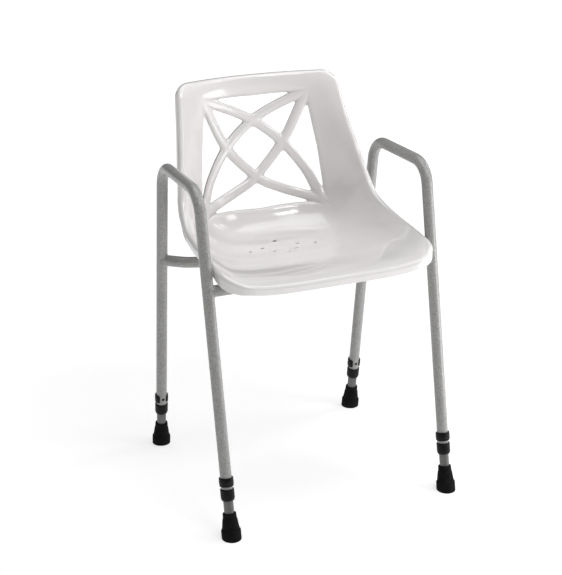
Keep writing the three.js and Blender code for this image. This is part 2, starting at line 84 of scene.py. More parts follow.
# Outlines turned round a leg: radius, height and how far the corner is rounded back, in mm.
FERRULE_OUTLINE = [
    (0, -9, 0), (18.9, -9, 0), (18.9, 16.6, 1.2), (16.7, 19.8, 1.6), (14.3, 37.6, 0.8),
    (13.4, 39.6, 0.8), (12.8, 50, 1.1), (9.8, 50, 1.0), (9.75, 12, 0), (0, 12, 0),
]
COLLAR_OUTLINE = [
    (9.9, 75, 0.3), (11.9, 75, 0.7), (13.4, 79.5, 0.9), (13.4, 96.8, 0.9), (12.5, 98, 0.4),
    (11.4, 98, 0.3), (11.4, 78.3, 0), (9.9, 78.3, 0),
]
PIN_OUTLINE = [
    (0, 4, 0), (2.2, 4, 0.4), (2.7, 4.7, 0.2), (2.7, 14.3, 0), (4, 14.3, 0.2),
    (4, 15.2, 0.4), (3.2, 15.6, 0.4), (0, 15.6, 0),
]

# Seat: cross-sections from the front lip to the top of the back, in mm. Each has its point on
# the centre line (y, z), its rim point (x, y, z) and how late its side turns up.
SEAT_SECTIONS = [
    ((-172, 481.5), (217.5, -168, 504), 5),
    ((-130, 483), (218.5, -126, 510), 5),
    ((-60, 474), (217, -61, 519), 4.5),
    ((20, 460), (214.5, 1.5, 526), 4),
    ((90, 451), (210.5, 52, 537.5), 3.6),
    ((145, 456), (204.5, 81, 553.5), 3.4),
    ((181, 476), (201.5, 96, 573), 3.3),
    ((203, 513), (195.5, 110, 599.5), 3.2),
    ((221, 588), (189, 132, 632), 2.7),
    ((236, 676), (180, 162.5, 684), 2.3),
    ((240, 768), (170.5, 205, 775), 2.1),
]
THICKNESS = 4 * MM
ROLL_RADIUS = 8 * MM
ROLL_STEPS = 10
FRONT_CORNER = 45 * MM
TOP_CORNER = 22 * MM
CORNER_STEPS = 10
SKIRT_DEPTHS = [  # place along the shell, mm
    (0, 9), (0.02, 9.5), (0.03, 13), (0.06, 17), (0.1, 17), (0.14, 12), (0.2, 10), (0.3, 10),
    (0.5, 7), (1, 7),
]
EDGE_EASE = (24 * MM, 2.4 * MM)  # how far in from the rim the surface starts to fall, and by how much
SKIRT_EDGE = 1.4 * MM
SEAT_COLUMNS = 164
CROWDING = 0.35  # how much closer together the columns are near the rim
FINE_ROW = 2.3 * MM
COARSE_ROW = 6 * MM
SNAP, LARGEST_SHIFT = 0.36, 0.45  # in grid steps: what is close to an edge, and the longest move
FAR_DEPTH = 0.1  # depths from here on mean that no opening is near
DRAIN_ROWS = (0.26, 0.46)  # places between which the pan's rows are fine, for the drain holes
BACK_START = 0.58  # place from which the rows are fine, for the lattice

# Back lattice, drawn in x and z, in mm.
WINDOW_OUTLINE = [
    (-108, 728.5), (0, 725), (108, 728.5), (124, 620), (134.5, 506), (0, 499.5), (-134.5, 506),
    (-124, 620),
]
UPPER_RIB = [(-112, 730), (-83.5, 717), (0, 675), (60.5, 626), (101, 572), (118, 535), (130, 505)]
LOWER_RIB = [(-116, 735), (-100, 705), (-60.5, 626), (0, 561.4), (50, 534.5), (99.5, 518), (136, 509)]
RIB_HALF_WIDTH = 9.5 * MM
LATTICE_FILLET = 7 * MM
LATTICE_ROUND = (9.2 * MM, 4.4 * MM)  # how far in from an edge its rounding runs, and its drop
LATTICE_FLANGE = (9.2 * MM, 3.6 * MM)  # how far in from an edge it is thicker behind, and by how much
DRAIN_HOLES = [(0, 125), (38, 97), (-38, 97), (71, 83), (-71, 83), (24, 70), (-24, 70), (0, 52)]
DRAIN_RADIUS = 3.5 * MM
DRAIN_ROUND = (1.6 * MM, 1.2 * MM)
LATTICE_FLOOR = 490 * MM  # height above which an opening can only be in the lattice
BACK_FRONT = 100 * MM  # y behind which the back lies

# Rails and seat fixings.
RAIL_HOLE = 2.7 * MM
REAR_BEND = {"x": 180 * MM, "radius": 80 * MM}
WELD = {"steps": 96, "sides": 12, "radius": 2 * MM, "sunk": 0.5 * MM, "ripples": 14, "ripple": 0.06}
SCREW = {"radius": 2.2, "head_radius": 4.6, "head_height": 3, "crown": 3.2, "pitch": 1.1, "thread": 0.45}
CROSS_RECESS = (5 * MM, 1 * MM, 2.4 * MM)
BOSS_SUNK = 2.4 * MM  # how far below the pan's upper surface a boss ends, inside the shell
FIXINGS = ["front_left", "front_right", "rear_left", "rear_right"]

# Stage. The camera's turns are in degrees: to the right, down and rolled.
CAMERA = {"place": (-1.1267, -2.43115, 1.4682), "turns": (24.19, 21.91, 0.425), "lens": 91.4}
MIDDLE = (0, 0, 0.5)
LAMPS = [  # name, place, what it points at, size, power
    ("overhead", (0.1, 0.2, 3.2), MIDDLE, (2.6, 2.6), 56),
    ("front", (0.5, -1.9, 3.0), MIDDLE, (1.3, 0.6), 25),
    ("right", (2.6, 0.3, 2.0), MIDDLE, (0.8, 1.0), 16),
    ("key", (2.2, -1.6, 2.2), MIDDLE, (0.7, 0.9), 12),
    ("side", (0.8, -0.5, 0.42), (0, 0, 0.42), (0.35, 0.7), 3.6),
    ("sparkle", (-1.7, -2.5, 2.9), MIDDLE, (0.5, 0.5), 5),
]
FLOOR_HALF = 30
FLOOR_GLOW = {"From Min": 0.6, "From Max": 3.0, "To Min": 0.64, "To Max": 1.0}


# --- mesh helpers


def add_mesh(name, vertices, faces, material, normals=None, place=None):
    """A smooth-shaded object, put at the place, a matrix."""
    mesh = bpy.data.meshes.new(name)
    mesh.from_pydata([tuple(v) for v in vertices], [], [tuple(f) for f in faces])
    mesh.update()
    mesh.shade_smooth()
    if normals is not None:
        mesh.normals_split_custom_set_from_vertices([tuple(n) for n in normals])
    if material is not None:
        mesh.materials.append(material)
    obj = bpy.data.objects.new(name, mesh)
    bpy.context.scene.collection.objects.link(obj)
    if place is not None:
        obj.matrix_world = place
    return obj


def shade(mesh, crease):
    """Smooth, apart from edges sharper than this many degrees."""
    mesh.shade_smooth()
    if crease is not None:
        mesh.set_sharp_from_angle(angle=math.radians(crease))


@contextmanager
def edited(mesh):
    """The mesh open for editing; at the end its faces are turned outwards."""
    work = bmesh.new()
    work.from_mesh(mesh)
    yield work
    bmesh.ops.recalc_face_normals(work, faces=work.faces)
    work.to_mesh(mesh)
    work.free()


def close_holes(obj):
    with edited(obj.data) as work:
        bmesh.ops.holes_fill(work, edges=work.edges)


def axes_at(place, x, y, z):
    """The matrix of a frame with these axes and its origin at a place."""
    return Matrix.Translation(place) @ Matrix((x, y, z)).transposed().to_4x4()


def rounded_outline(corners, steps=4, scale=MM):
    """The outline with each corner replaced by a curve that starts its third number back."""
    longest = 0.48  # the share of an edge that a curve may take up
    points = []
    count = len(corners)
    for i, (x, y, back) in enumerate(corners):
        here = Vector((x, y))
        if back == 0:
            points.append(here)
            continue
        before = Vector(corners[i - 1][:2]) - here
        after = Vector(corners[(i + 1) % count][:2]) - here
        start = here + before.normalized() * min(back, longest * before.length)
        end = here + after.normalized() * min(back, longest * after.length)
        for k in range(steps + 1):
            t = k / steps
            points.append(start * (1 - t) ** 2 + here * (2 * t * (1 - t)) + end * t**2)
    return [p * scale for p in points]


def carried_frames(points, tangents):
    """A side direction at each point of a path, carried along it without twist."""
    side = tangents[0].orthogonal().normalized()
    sides = [side]
    for before, after in zip(tangents, tangents[1:]):
        side = before.rotation_difference(after) @ side
        side = (side - after * side.dot(after)).normalized()
        sides.append(side)
    return list(zip(points, tangents, sides))


def circle(centre, tangent, side, radius, sides):
    other = tangent.cross(side)
    angles = [2 * math.pi * k / sides for k in range(sides)]
    return [centre + radius * (side * math.cos(a) + other * math.sin(a)) for a in angles]


def tube_rings(points, tangents, radius, sides=TUBE_SIDES):
    return [circle(*spot, radius, sides) for spot in carried_frames(points, tangents)]


def skin(name, rings, material, loop=False, crease=35, place=None):
    """Joins rings of points into one surface; loop joins the last ring to the first."""
    count = len(rings[0])
    vertices = [p for ring in rings for p in ring]
    faces = []
    spans = len(rings) if loop else len(rings) - 1
    for i in range(spans):
        j = (i + 1) % len(rings)
        for k in range(count):
            m = (k + 1) % count
            faces.append((i * count + k, i * count + m, j * count + m, j * count + k))
    obj = add_mesh(name, vertices, faces, material, place=place)
    with edited(obj.data) as work:
        bmesh.ops.remove_doubles(work, verts=work.verts, dist=1e-6)
    shade(obj.data, crease)
    return obj


def turned(name, outline, material, sides=48, closed=True, place=None):
    """An outline of (radius, height) points turned about the z axis."""
    up, side = Vector((0, 0, 1)), Vector((1, 0, 0))
    rings = [circle(up * height, up, side, radius, sides) for radius, height in outline]
    return skin(name, rings, material, loop=closed, place=place)


def tube(name, points, tangents, radius, bore, material, place=None):
    """A hollow tube with slightly eased ends."""
    ease = 0.35 * MM
    outer = tube_rings(points, tangents, radius)
    inner = tube_rings(points, tangents, bore)
    first, *_, last = tube_rings(points, tangents, radius - ease)
    outer[0] = [p + tangents[0] * ease for p in outer[0]]
    outer[-1] = [p - tangents[-1] * ease for p in outer[-1]]
    return skin(name, [first, *outer, last, *reversed(inner)], material, loop=True, place=place)


def bent_path(corners, bend, steps=18, stops=()):
    """Points and tangents along straight runs joined by arcs. stops are extra stations, as
    (run, distance from its start)."""
    points, tangents = [corners[0]], [(corners[1] - corners[0]).normalized()]
    last = len(corners) - 1
    for i in range(last):
        into = (corners[i + 1] - corners[i]).normalized()
        for run, distance in sorted(stops):
            if run == i:
                points.append(corners[i] + into * distance)
                tangents.append(into)
        if i + 1 == last:
            continue
        out = (corners[i + 2] - corners[i + 1]).normalized()
        turn = into.angle(out)
        axis = into.cross(out).normalized()
        start = corners[i + 1] - into * bend * math.tan(turn / 2)
        centre = start + axis.cross(into) * bend
        for k in range(steps + 1):
            spin = Matrix.Rotation(turn * k / steps, 3, axis)
            points.append(centre + spin @ (start - centre))
            tangents.append(spin @ into)
    points.append(corners[last])
    tangents.append((corners[last] - corners[last - 1]).normalized())
    return points, tangents


def cutter(rings, place=None):
    """A closed solid between two rings of points."""
    obj = skin("cutter", rings, None, place=place)
    close_holes(obj)
    return obj


def rod(start, end, radius, place=None):
    """A round cutter."""
    along = (end - start).normalized()
    return cutter(tube_rings([start, end], [along, along], radius, sides=24), place)


def bar(size, place):
    """A rectangular cutter centred on a place."""
    x, y, z = (length / 2 for length in size)
    corners = [(-x, -y), (x, -y), (x, y), (-x, y)]
    return cutter([[Vector((*corner, height)) for corner in corners] for height in (-z, z)], place)


def drill(obj, cutters, crease=35):
    """Cuts each cutter out of the object and removes the cutters."""
    for tool in cutters:
        modifier = obj.modifiers.new("cut", "BOOLEAN")
        modifier.operation = "DIFFERENCE"
        modifier.solver = "EXACT"
        modifier.object = tool
    graph = bpy.context.evaluated_depsgraph_get()
    cut_mesh = bpy.data.meshes.new_from_object(obj.evaluated_get(graph))
    obj.modifiers.clear()
    obj.data = cut_mesh
    for tool in cutters:
        bpy.data.objects.remove(tool)
    shade(cut_mesh, crease)


# --- materials


class Finish:
    """A Principled material and short calls for wiring its nodes."""

    def __init__(self, name, colour, roughness, metallic=0.0):
        self.material = bpy.data.materials.new(name)
        self.material.use_nodes = True
        self.nodes = self.material.node_tree.nodes
        self.link = self.material.node_tree.links.new
        self.shader = self.nodes["Principled BSDF"]
        self.set(Base_Color=(*colour, 1), Roughness=roughness, Metallic=metallic)
        self.place = self.node("TexCoord").outputs["Object"]

    def set(self, **values):
        for name, value in values.items():
            self.shader.inputs[name.replace("_", " ")].default_value = value

    def node(self, kind, **values):
        node = self.nodes.new(f"ShaderNode{kind}")
        for name, value in values.items():
            node.inputs[name].default_value = value
        return node

    def noise(self, scale, detail=4, roughness=0.55, stretch=None):
        place = self.place
        if stretch is not None:
            mapping = self.node("Mapping", Scale=stretch)
            self.link(place, mapping.inputs["Vector"])
            place = mapping.outputs["Vector"]
        noise = self.node("TexNoise", Scale=scale, Detail=detail, Roughness=roughness)
        self.link(place, noise.inputs["Vector"])
        return noise.outputs["Fac"]

    def cells(self, scale):
        voronoi = self.node("TexVoronoi", Scale=scale)
        self.link(self.place, voronoi.inputs["Vector"])
        return voronoi.outputs["Distance"]

    def ramp(self, source, stops):
        """stops are (place, colour); the colours are three numbers."""
        ramp = self.node("ValToRGB")
        elements = ramp.color_ramp.elements
        while len(elements) < len(stops):
            elements.new(0.5)
        for element, (place, colour) in zip(elements, stops):
            element.position = place
            element.color = (*colour, 1)
        self.link(source, ramp.inputs["Fac"])
        return ramp.outputs["Color"]

    def grey_ramp(self, source, low, high):
        return self.ramp(source, [(0.3, (low,) * 3), (0.7, (high,) * 3)])

    def multiply(self, first, second):
        mix = self.node("Mix")
        mix.data_type = "RGBA"
        mix.blend_type = "MULTIPLY"
        mix.inputs["Factor"].default_value = 1
        self.link(first, mix.inputs["A"])
        self.link(second, mix.inputs["B"])
        return mix.outputs["Result"]

    def colour(self, source):
        self.link(source, self.shader.inputs["Base Color"])

    def rough(self, source, low, high):
        self.link(self.grey_ramp(source, low, high), self.shader.inputs["Roughness"])

    def bump(self, *layers):
        """layers are (source, height in metres, strength), the coarsest first."""
        previous = None
        for source, height, strength in layers:
            bump = self.node("Bump", Strength=strength, Distance=height)
            self.link(source, bump.inputs["Height"])
            if previous is not None:
                self.link(previous, bump.inputs["Normal"])
            previous = bump.outputs["Normal"]
        self.link(previous, self.shader.inputs["Normal"])


def seat_plastic():
    """Glossy moulded polypropylene, warm white, with faint flow marks and a fine texture."""
    finish = Finish("seat_plastic", (0.75, 0.725, 0.717), 0.3)
    flow = finish.noise(7, detail=2, stretch=(0.4, 1.5, 1.5))
    tone = finish.ramp(flow, [(0.3, (0.742, 0.717, 0.71)), (0.7, (0.768, 0.747, 0.739))])
    finish.colour(tone)
    finish.bump((finish.noise(240, detail=1), 0.03 * MM, 0.08))
    finish.set(Coat_Weight=0.9, Coat_Roughness=0.04)
    return finish.material


def coated_tube():
    """Off-white epoxy powder coat: a fine pebbled skin with a mottled tone."""
    finish = Finish("coated_tube", (0.31, 0.307, 0.3), 0.42)
    mottle = finish.ramp(
        finish.noise(260, detail=5, roughness=0.7),
        [(0.34, (0.24, 0.237, 0.23)), (0.5, (0.31, 0.307, 0.3)), (0.66, (0.38, 0.377, 0.368))],
    )
    cloud = finish.grey_ramp(finish.noise(18, detail=2), 0.93, 1.0)
    finish.colour(finish.multiply(mottle, cloud))
    finish.rough(finish.noise(180, detail=4), 0.34, 0.52)
    finish.bump(
        (finish.noise(420, detail=2), 0.14 * MM, 0.25), (finish.cells(700), 0.06 * MM, 0.2)
    )
    finish.set(Coat_Weight=0.5, Coat_Roughness=0.14)
    return finish.material


def aluminium():
    """Drawn tube: fine lengthwise lines and a faint random clouding."""
    finish = Finish("aluminium", (0.2, 0.2, 0.197), 0.42, metallic=0.85)
    lines = finish.noise(800, detail=3, stretch=(1, 1, 0.02))
    tone = finish.ramp(lines, [(0.3, (0.13, 0.13, 0.128)), (0.7, (0.2, 0.2, 0.197))])
    cloud = finish.grey_ramp(finish.noise(120, detail=4), 0.8, 1.0)
    finish.colour(finish.multiply(tone, cloud))
    finish.rough(lines, 0.34, 0.55)
    finish.bump((lines, 0.03 * MM, 0.4))
    return finish.material


def grained(name, colour, roughness, tone, stops, rough, grains, metallic=0.0, **values):
    """A material with one noise for its tone, one for its roughness and some for its bumps."""
    finish = Finish(name, colour, roughness, metallic)
    finish.colour(finish.ramp(finish.noise(*tone), stops))
    scale, detail, low, high = rough
    finish.rough(finish.noise(scale, detail), low, high)
    finish.bump(*[
        (finish.noise(scale, detail), height * MM, strength)
        for scale, detail, height, strength in grains
    ])
    finish.set(**values)
    return finish.material


def black_rubber():
    """Matt moulded rubber with a fine grain and a dusty bloom."""
    bloom = [(0.35, (0.003, 0.003, 0.0031)), (0.75, (0.008, 0.0079, 0.0078))]
    return grained(
        "black_rubber", (0.005, 0.005, 0.0052), 0.8, (90, 6, 0.65), bloom, (220, 4, 0.7, 0.9),
        [(500, 4, 0.12, 0.35), (2200, 2, 0.03, 0.3)], Specular_IOR_Level=0.12,
    )


def black_plastic():
    """Injection-moulded nylon, semi-gloss with a fine spark-eroded grain."""
    tone = [(0.35, (0.003, 0.003, 0.0032)), (0.7, (0.007, 0.007, 0.0072))]
    return grained(
        "black_plastic", (0.004, 0.004, 0.0042), 0.42, (140, 4), tone, (300, 4, 0.34, 0.52),
        [(1500, 3, 0.05, 0.35)], Specular_IOR_Level=0.16,
    )


def black_steel():
    """Blackened steel, worn a little brighter in patches."""
    wear = [(0.4, (0.006, 0.006, 0.006)), (0.75, (0.03, 0.029, 0.028))]
    return grained(
        "black_steel", (0.012, 0.012, 0.012), 0.5, (400, 4), wear, (600, 3, 0.4, 0.6),
        [(1800, 2, 0.03, 0.3)], Specular_IOR_Level=0.2,
    )


def zinc_steel():
    """Zinc-plated steel with faint turning marks and dull patches."""
    patches = [(0.35, (0.44, 0.45, 0.46)), (0.7, (0.63, 0.64, 0.65))]
    return grained(
        "zinc_steel", (0.56, 0.57, 0.58), 0.3, (220, 5), patches, (220, 5, 0.24, 0.42),
        [(900, 3, 0.03, 0.3)], metallic=1.0,
    )


def pale_floor():
    """White, and lit from within away from the chair, where the lamps no longer reach."""
    finish = Finish("pale_floor", (0.5, 0.5, 0.5), 0.8)
    distance = finish.node("VectorMath")
    distance.operation = "LENGTH"
    finish.link(finish.place, distance.inputs[0])
    spread = finish.node("MapRange", **FLOOR_GLOW)
    finish.link(distance.outputs["Value"], spread.inputs["Value"])
    finish.link(spread.outputs["Result"], finish.shader.inputs["Emission Strength"])
    finish.set(Emission_Color=(1, 1, 1, 1))
    return finish.material


# --- legs


def record_item(items, name):
    return next(item for item in items if item["name"] == name)


class Leg:
    """A leg's own frame: origin at the middle of the sole, z up the leg, and -y the way its
    clip pulls off."""

    def __init__(self, end, hand):
        self.name, self.hand = f"{end}_{hand}", hand
        self.foot = Vector(record_item(frame["record"]["mounts"], f"{self.name}_sole")["pos_m"])
        joints = frame["joints"]
        self.up = -Vector(record_item(joints, f"{self.name}_leg_height")["axis"]).normalized()
        back = -Vector(record_item(joints, f"{self.name}_clip_pull")["axis"])
        self.back = (back - self.up * back.dot(self.up)).normalized()
        right = self.back.cross(self.up)
        self.frame = axes_at(self.foot, right, self.back, self.up)

    def at(self, along):
        """The point this far up the leg."""
        return self.foot + self.up * along

    def at_height(self, z):
        """The point of the leg's axis at this height above the floor."""
        return self.foot + self.up * (z / self.up.z)


LEGS = {f"{end}_{hand}": Leg(end, hand) for end in ("front", "rear") for hand in ("left", "right")}


def side_hoop(hand, material):
    front, rear = LEGS[f"front_{hand}"], LEGS[f"rear_{hand}"]
    corners = [
        front.at(HOOP_END),
        front.at_height(ARM_HEIGHT["front"]),
        rear.at_height(ARM_HEIGHT["rear"]),
        rear.at(HOOP_END),
    ]
    near = PIN_HEIGHT - HOOP_END
    rear_run = (corners[3] - corners[2]).length
    ring_gap = 6 * MM
    stops = [(0, near - ring_gap), (0, near + ring_gap)]
    stops += [(2, rear_run - near - ring_gap), (2, rear_run - near + ring_gap)]
    points, tangents = bent_path(corners, ARM_BEND, stops=stops)
    hoop = tube(f"{hand}_hoop_tube", points, tangents, TUBE_RADIUS, TUBE_BORE, material)
    across = [(leg.at(PIN_HEIGHT), leg.back * (TUBE_RADIUS + CUT_PAST)) for leg in (front, rear)]
    drill(hoop, [rod(middle - reach, middle + reach, PIN_HOLE) for middle, reach in across])
    finish_piece(hoop, "frame", "coated_tube", f"{hand}_side_hoop")


def finish_piece(obj, body, slot, *nodes):
    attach(obj, body)
    if nodes:
        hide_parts(*nodes)


# --- rails


def slid_to_leg(ring, along, leg, radius):
    """The ring's points moved along a direction to this far from the leg's axis."""
    run = along - leg.up * along.dot(leg.up)
    slid = []
    for point in ring:
        start = point - leg.foot
        flat = start - leg.up * start.dot(leg.up)
        a, b, c = run.dot(run), flat.dot(run), flat.dot(flat) - radius**2
        slid.append(point + along * ((-b - math.sqrt(max(b * b - a * c, 0.0))) / a))
    return slid


def cross_rail(end, path, legs, material, screws):
    """A rail whose path runs into a leg at each end, its ends saddled to fit them."""
    points, tangents = path
    seams = [(legs[0], points[1], -tangents[1]), (legs[1], points[-2], tangents[-2])]
    skins = []
    for radius in (TUBE_RADIUS, TUBE_BORE):
        rings = tube_rings(points[1:-1], tangents[1:-1], radius)
        first, last = (
            slid_to_leg(ring, along, leg, TUBE_RADIUS)
            for ring, (leg, _, along) in zip((rings[0], rings[-1]), seams)
        )
        skins.append([first, *rings, last])
    outer, inner = skins
    rail = skin(f"{end}_cross_rail_tube", [*outer, *reversed(inner)], material, loop=True)
    reach = Vector((0, 0, TUBE_RADIUS + CUT_PAST))
    drill(rail, [rod(place - reach, place + reach, RAIL_HOLE) for place in screws])
    finish_piece(rail, "frame", "coated_tube", f"{end}_cross_rail")
    for leg, place, along in seams:
        weld = weld_bead(f"{end}_rail_weld_{leg.hand}", place, along, leg, material)
        finish_piece(weld, "frame", "coated_tube")


def weld_bead(name, place, along, leg, material):
    """A rippled bead round the seam between a rail's end and its leg, under the coating."""
    steps, radius = WELD["steps"], TUBE_RADIUS - WELD["sunk"]
    seam = slid_to_leg(tube_rings([place], [along], radius, steps)[0], along, leg, radius)
    rings = []
    for k, point in enumerate(seam):
        tangent = (seam[(k + 1) % steps] - seam[k - 1]).normalized()
        out = (point - leg.at((point - leg.foot).dot(leg.up))).normalized()
        side = (out - tangent * out.dot(tangent)).normalized()
        swell = 1 + WELD["ripple"] * math.sin(2 * math.pi * k * WELD["ripples"] / steps)
        rings.append(circle(point, tangent, side, WELD["radius"] * swell, WELD["sides"]))
    return skin(name, rings, material, loop=True, crease=None)


def box_middle(node):
    low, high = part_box(node)
    return (low + high) / 2


def cross_rails(material, screws):
    for end in ("front", "rear"):
        legs = [LEGS[f"{end}_{hand}"] for hand in ("left", "right")]
        middle = box_middle(f"{end}_cross_rail")
        places = [Vector((*screws[n].xy, middle.z)) for n in FIXINGS if n.startswith(end)]
        ends = [leg.at_height(middle.z) for leg in legs]
        if end == "front":
            for point in ends:
                point.y = middle.y
            inset = Vector((30 * MM, 0, 0))
            points = [ends[0], ends[0] + inset, ends[1] - inset, ends[1]]
            path = points, [inset.normalized()] * 4
        else:
            path = rear_path(ends, places[0].y)
        cross_rail(end, path, legs, material, places)


def rear_path(ends, middle_y):
    """Out of each rear leg, forwards, round a bend and across under the pan."""
    bends = [Vector((side * REAR_BEND["x"], middle_y, ends[0].z)) for side in (-1, 1)]
    corners = [ends[0], *bends, ends[1]]
    first_run = (corners[1] - corners[0]).length
    last_run = (corners[3] - corners[2]).length
    clear = 26 * MM
    stops = [(0, min(clear, first_run / 2)), (2, max(last_run - clear, last_run / 2))]
    return bent_path(corners, REAR_BEND["radius"], steps=14, stops=stops)


# --- leg adjusters


def pin_bore(leg, z, start, end):
    """A cutter for the pin's hole, from one y to another in the leg's frame."""
    return rod(Vector((0, start, z)), Vector((0, end, z)), PIN_HOLE, leg.frame)


def height_clip(leg, material):
    """A springy C-shaped band with eased edges, open on the side away from its pull."""
    half = math.radians(CLIP["opening"] / 2)
    start, end = math.pi / 2 + half, math.pi / 2 - half + 2 * math.pi
    inner, outer, edge = CLIP["inner"], CLIP["outer"], CLIP["edge"]
    low, high = PIN_HEIGHT - CLIP["height"] / 2, PIN_HEIGHT + CLIP["height"] / 2
    shoulder = outer - 0.4 * MM  # the band is slightly barrelled
    corners = [
        (inner, low, 0.3 * MM), (shoulder, low, edge), (outer, (low + high) / 2, 0),
        (shoulder, high, edge), (inner, high, 0.3 * MM),
    ]
    section = rounded_outline(corners, steps=3, scale=1)
    steps, tip_steps, crease = 56, 3, 40
    rings = []
    for k in range(steps + 1):
        angle = start + (end - start) * k / steps
        tip = max(0.0, 1 - min(k, steps - k) / tip_steps)
        lower, thinner = (1 - share * tip for share in CLIP_TAPER)
        ring = []
        for radius, height in section:
            z = PIN_HEIGHT + (height - PIN_HEIGHT) * lower
            r = inner + (radius - inner) * thinner
            ring.append(Vector((r * math.cos(angle), r * math.sin(angle), z)))
        rings.append(ring)
    clip = skin(f"{leg.name}_clip_band", rings, material, crease=crease, place=leg.frame)
    close_holes(clip)
    shade(clip.data, crease)
    bore = pin_bore(leg, PIN_HEIGHT, -outer - CUT_PAST, -inner + CUT_PAST)
    drill(clip, [bore], crease=crease)
    finish_piece(clip, f"{leg.name}_clip", "black_plastic", f"{leg.name}_height_clip")


def leg_extension(leg, material):
    """The inner tube, with a row of holes for the clip's pin."""
    pins = [PIN_HEIGHT + i * PIN_PITCH for i in range(PIN_POSITIONS)]
    beside_hole = 5 * MM
    heights = [EXTENSION["bottom"]]
    for z in pins:
        heights += [z - beside_hole, z + beside_hole]
    heights.append(EXTENSION["top"])
    points = [Vector((0, 0, z)) for z in heights]
    tangents = [Vector((0, 0, 1))] * len(points)
    size = EXTENSION["radius"], EXTENSION["bore"]
    piece = tube(f"{leg.name}_inner_tube", points, tangents, *size, material, place=leg.frame)
    reach = TUBE_RADIUS + CUT_PAST
    drill(piece, [pin_bore(leg, z, -reach, reach) for z in pins])
    finish_piece(piece, f"{leg.name}_leg", "aluminium", f"{leg.name}_leg_extension")


def ferrule(leg, material):
    """A rubber foot, its sole cut level with the floor and ringed with a shallow groove."""
    outline = rounded_outline(FERRULE_OUTLINE)
    foot = turned(f"{leg.name}_rubber_foot", outline, material, 64, closed=False, place=leg.frame)
    to_leg = leg.frame.inverted()
    normal = (to_leg.to_3x3() @ Vector((0, 0, 1))).normalized()
    with edited(foot.data) as work:
        bmesh.ops.bisect_plane(
            work, geom=[*work.verts, *work.edges, *work.faces], plane_co=to_leg @ leg.foot,
            plane_no=normal, clear_inner=True,
        )
        rim = [edge for edge in work.edges if edge.is_boundary]
        sole = bmesh.ops.contextual_create(work, geom=rim)["faces"]
        for inset, step in SOLE_RINGS:
            bmesh.ops.inset_region(work, faces=sole, thickness=inset * MM, depth=0)
            for vertex in {v for face in sole for v in face.verts}:
                vertex.co += normal * step * MM
    foot.data.transform(leg.frame)
    foot.matrix_world = Matrix.Identity(4)
    foot.data.update()
    shade(foot.data, 38)
    finish_piece(foot, f"{leg.name}_leg", "rubber", f"{leg.name}_ferrule")


def leg_collar(leg, material):
    outline = rounded_outline(COLLAR_OUTLINE)
    collar = turned(f"{leg.name}_collar", outline, material, sides=56, place=leg.frame)
    finish_piece(collar, "frame", "black_plastic", f"{leg.name}_leg_collar")


def clip_pin(leg, material):
    lie_down = Matrix.Translation((0, 0, PIN_HEIGHT)) @ Matrix.Rotation(math.pi / 2, 4, "X")
    outline = rounded_outline(PIN_OUTLINE)
    pin = turned(f"{leg.name}_pin", outline, material, sides=32, place=leg.frame @ lie_down, closed=False)
    finish_piece(pin, f"{leg.name}_clip", "steel", f"{leg.name}_clip_pin")


# --- seat


def hermite(a, b, slope_a, slope_b, w):
    """The cubic from a to b with these slopes, at w from 0 to 1."""
    square = 3 * (b - a) - 2 * slope_a - slope_b
    cube = 2 * (a - b) + slope_a + slope_b
    return a + slope_a * w + square * w**2 + cube * w**3


class Curve:
    """A smooth curve through points, each an equal share of its length in t."""

    def __init__(self, points):
        inner = np.array(points, float)
        before = 2 * inner[0] - inner[1]
        after = 2 * inner[-1] - inner[-2]
        self.points = np.vstack([before, inner, after])
        self.spans = len(inner) - 1

    def at(self, t):
        place = np.clip(np.asarray(t, float), 0, 1) * self.spans
        i = np.minimum(place.astype(int), self.spans - 1)
        p0, p1, p2, p3 = (self.points[i + k] for k in range(4))
        legs = (p1 - p0, p2 - p1, p3 - p2)
        d0, d1, d2 = (np.sqrt(np.linalg.norm(leg, axis=-1))[..., None] for leg in legs)
        m1 = ((p1 - p0) / d0 - (p2 - p0) / (d0 + d1) + (p2 - p1) / d1) * d1
        m2 = ((p2 - p1) / d1 - (p3 - p1) / (d1 + d2) + (p3 - p2) / d2) * d1
        return hermite(p1, p2, m1, m2, (place - i)[..., None])


def unit(vectors):
    return vectors / np.linalg.norm(vectors, axis=-1, keepdims=True)


class SeatSurface:
    """The seat's upper surface: a point for each x and place t, from the lip (0) to the top (1)."""

    def __init__(self):
        centres = [(0, y * MM + DEPTH_OFFSET, z * MM) for (y, z), _, _ in SEAT_SECTIONS]
        rims = [(x * MM, y * MM + DEPTH_OFFSET, z * MM) for _, (x, y, z), _ in SEAT_SECTIONS]
        self.centre, self.rim = Curve(centres), Curve(rims)
        self.turn_ups = [late for _, _, late in SEAT_SECTIONS]
        self.places = np.linspace(0, 1, len(SEAT_SECTIONS))

    def point(self, x, t):
        centre, rim = self.centre.at(t), self.rim.at(t)
        rise = (np.abs(x) / rim[..., 0]) ** np.interp(t, self.places, self.turn_ups)
        flat = centre + (rim - centre) * rise[..., None]
        flat[..., 0] = x
        return flat

    def normal(self, x, t):
        dx, dt = 0.5 * MM, 0.001
        across = self.point(x + dx, t) - self.point(x - dx, t)
        along = self.point(x, np.minimum(t + dt, 1)) - self.point(x, np.maximum(t - dt, 0))
        return unit(np.cross(across, along))

    def tangent(self, t):
        dt = 0.002
        return unit(self.centre.at(np.minimum(t + dt, 1)) - self.centre.at(np.maximum(t - dt, 0)))


SEAT = SeatSurface()


def uniform_spline(points, steps=16):
    """Points along a smooth curve through these, as an array."""
    p = np.array([points[0], *points, points[-1]], float) * MM
    found = []
    for a, b, c, d in zip(p, p[1:], p[2:], p[3:]):
        for w in np.linspace(0, 1, steps, endpoint=False):
            found.append(hermite(b, c, (c - a) / 2, (d - b) / 2, w))
    return np.array([*found, p[-1]])


